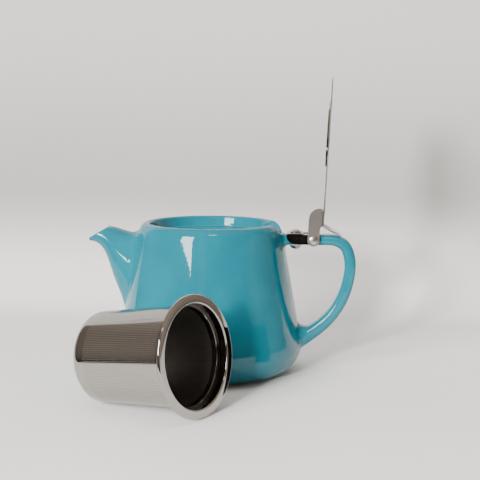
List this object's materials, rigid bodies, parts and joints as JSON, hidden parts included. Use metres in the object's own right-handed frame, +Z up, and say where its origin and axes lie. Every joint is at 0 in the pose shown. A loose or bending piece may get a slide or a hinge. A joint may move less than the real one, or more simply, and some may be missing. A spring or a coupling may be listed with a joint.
{
  "type": "infuser teapot",
  "caption": "Glazed ceramic teapot with a hinged steel lid clamped to its handle, shown open, and its lift-out steel infuser basket lying in front.",
  "frame": {"origin": "centre of the pot's base, on the table", "axes": "+Z up along the pot's axis, +X towards the handle, -X towards the spout, -Y towards the lying infuser basket"},
  "size_m": [0.1751, 0.2071, 0.1918],
  "materials": {
    "glaze": "gloss turquoise glaze",
    "polished_steel": "polished stainless steel",
    "mirror_steel": "mirror-polished stainless steel",
    "etched_steel": "stainless sheet with rows of fine etched holes",
    "brushed_steel": "satin stainless steel",
    "rivet_steel": "turned stainless steel",
    "silicone": "translucent white silicone"
  },
  "bodies": {
    "pot": {"teapot_body": "glaze", "hinge_saddle": "polished_steel", "saddle_liner": "silicone", "bolt_sleeve": "silicone", "saddle_bolt": "polished_steel", "under_washer": "silicone", "cap_nut": "polished_steel", "hinge_rivets": "rivet_steel", "hinge_washers": "brushed_steel"},
    "lid": {"lid_plate": "polished_steel", "lid_hinge_bracket": "brushed_steel"},
    "infuser": {"infuser_collar": "mirror_steel", "infuser_sleeve": "etched_steel", "infuser_base": "mirror_steel"}
  },
  "joints": [
    {"name": "lid_hinge", "type": "hinge", "parent": "pot", "child": "lid", "pos_m": [0.0672, 0, 0.0878], "axis": [0, 1, 0], "range_deg": [-92.8, 0]},
    {"name": "infuser_tip", "type": "hinge", "parent": "pot", "child": "infuser", "pos_m": [-0.04942, -0.087, 0.00702], "axis": [-0.4761, -0.8794, 0], "range_deg": [0, 82.64]}
  ]
}
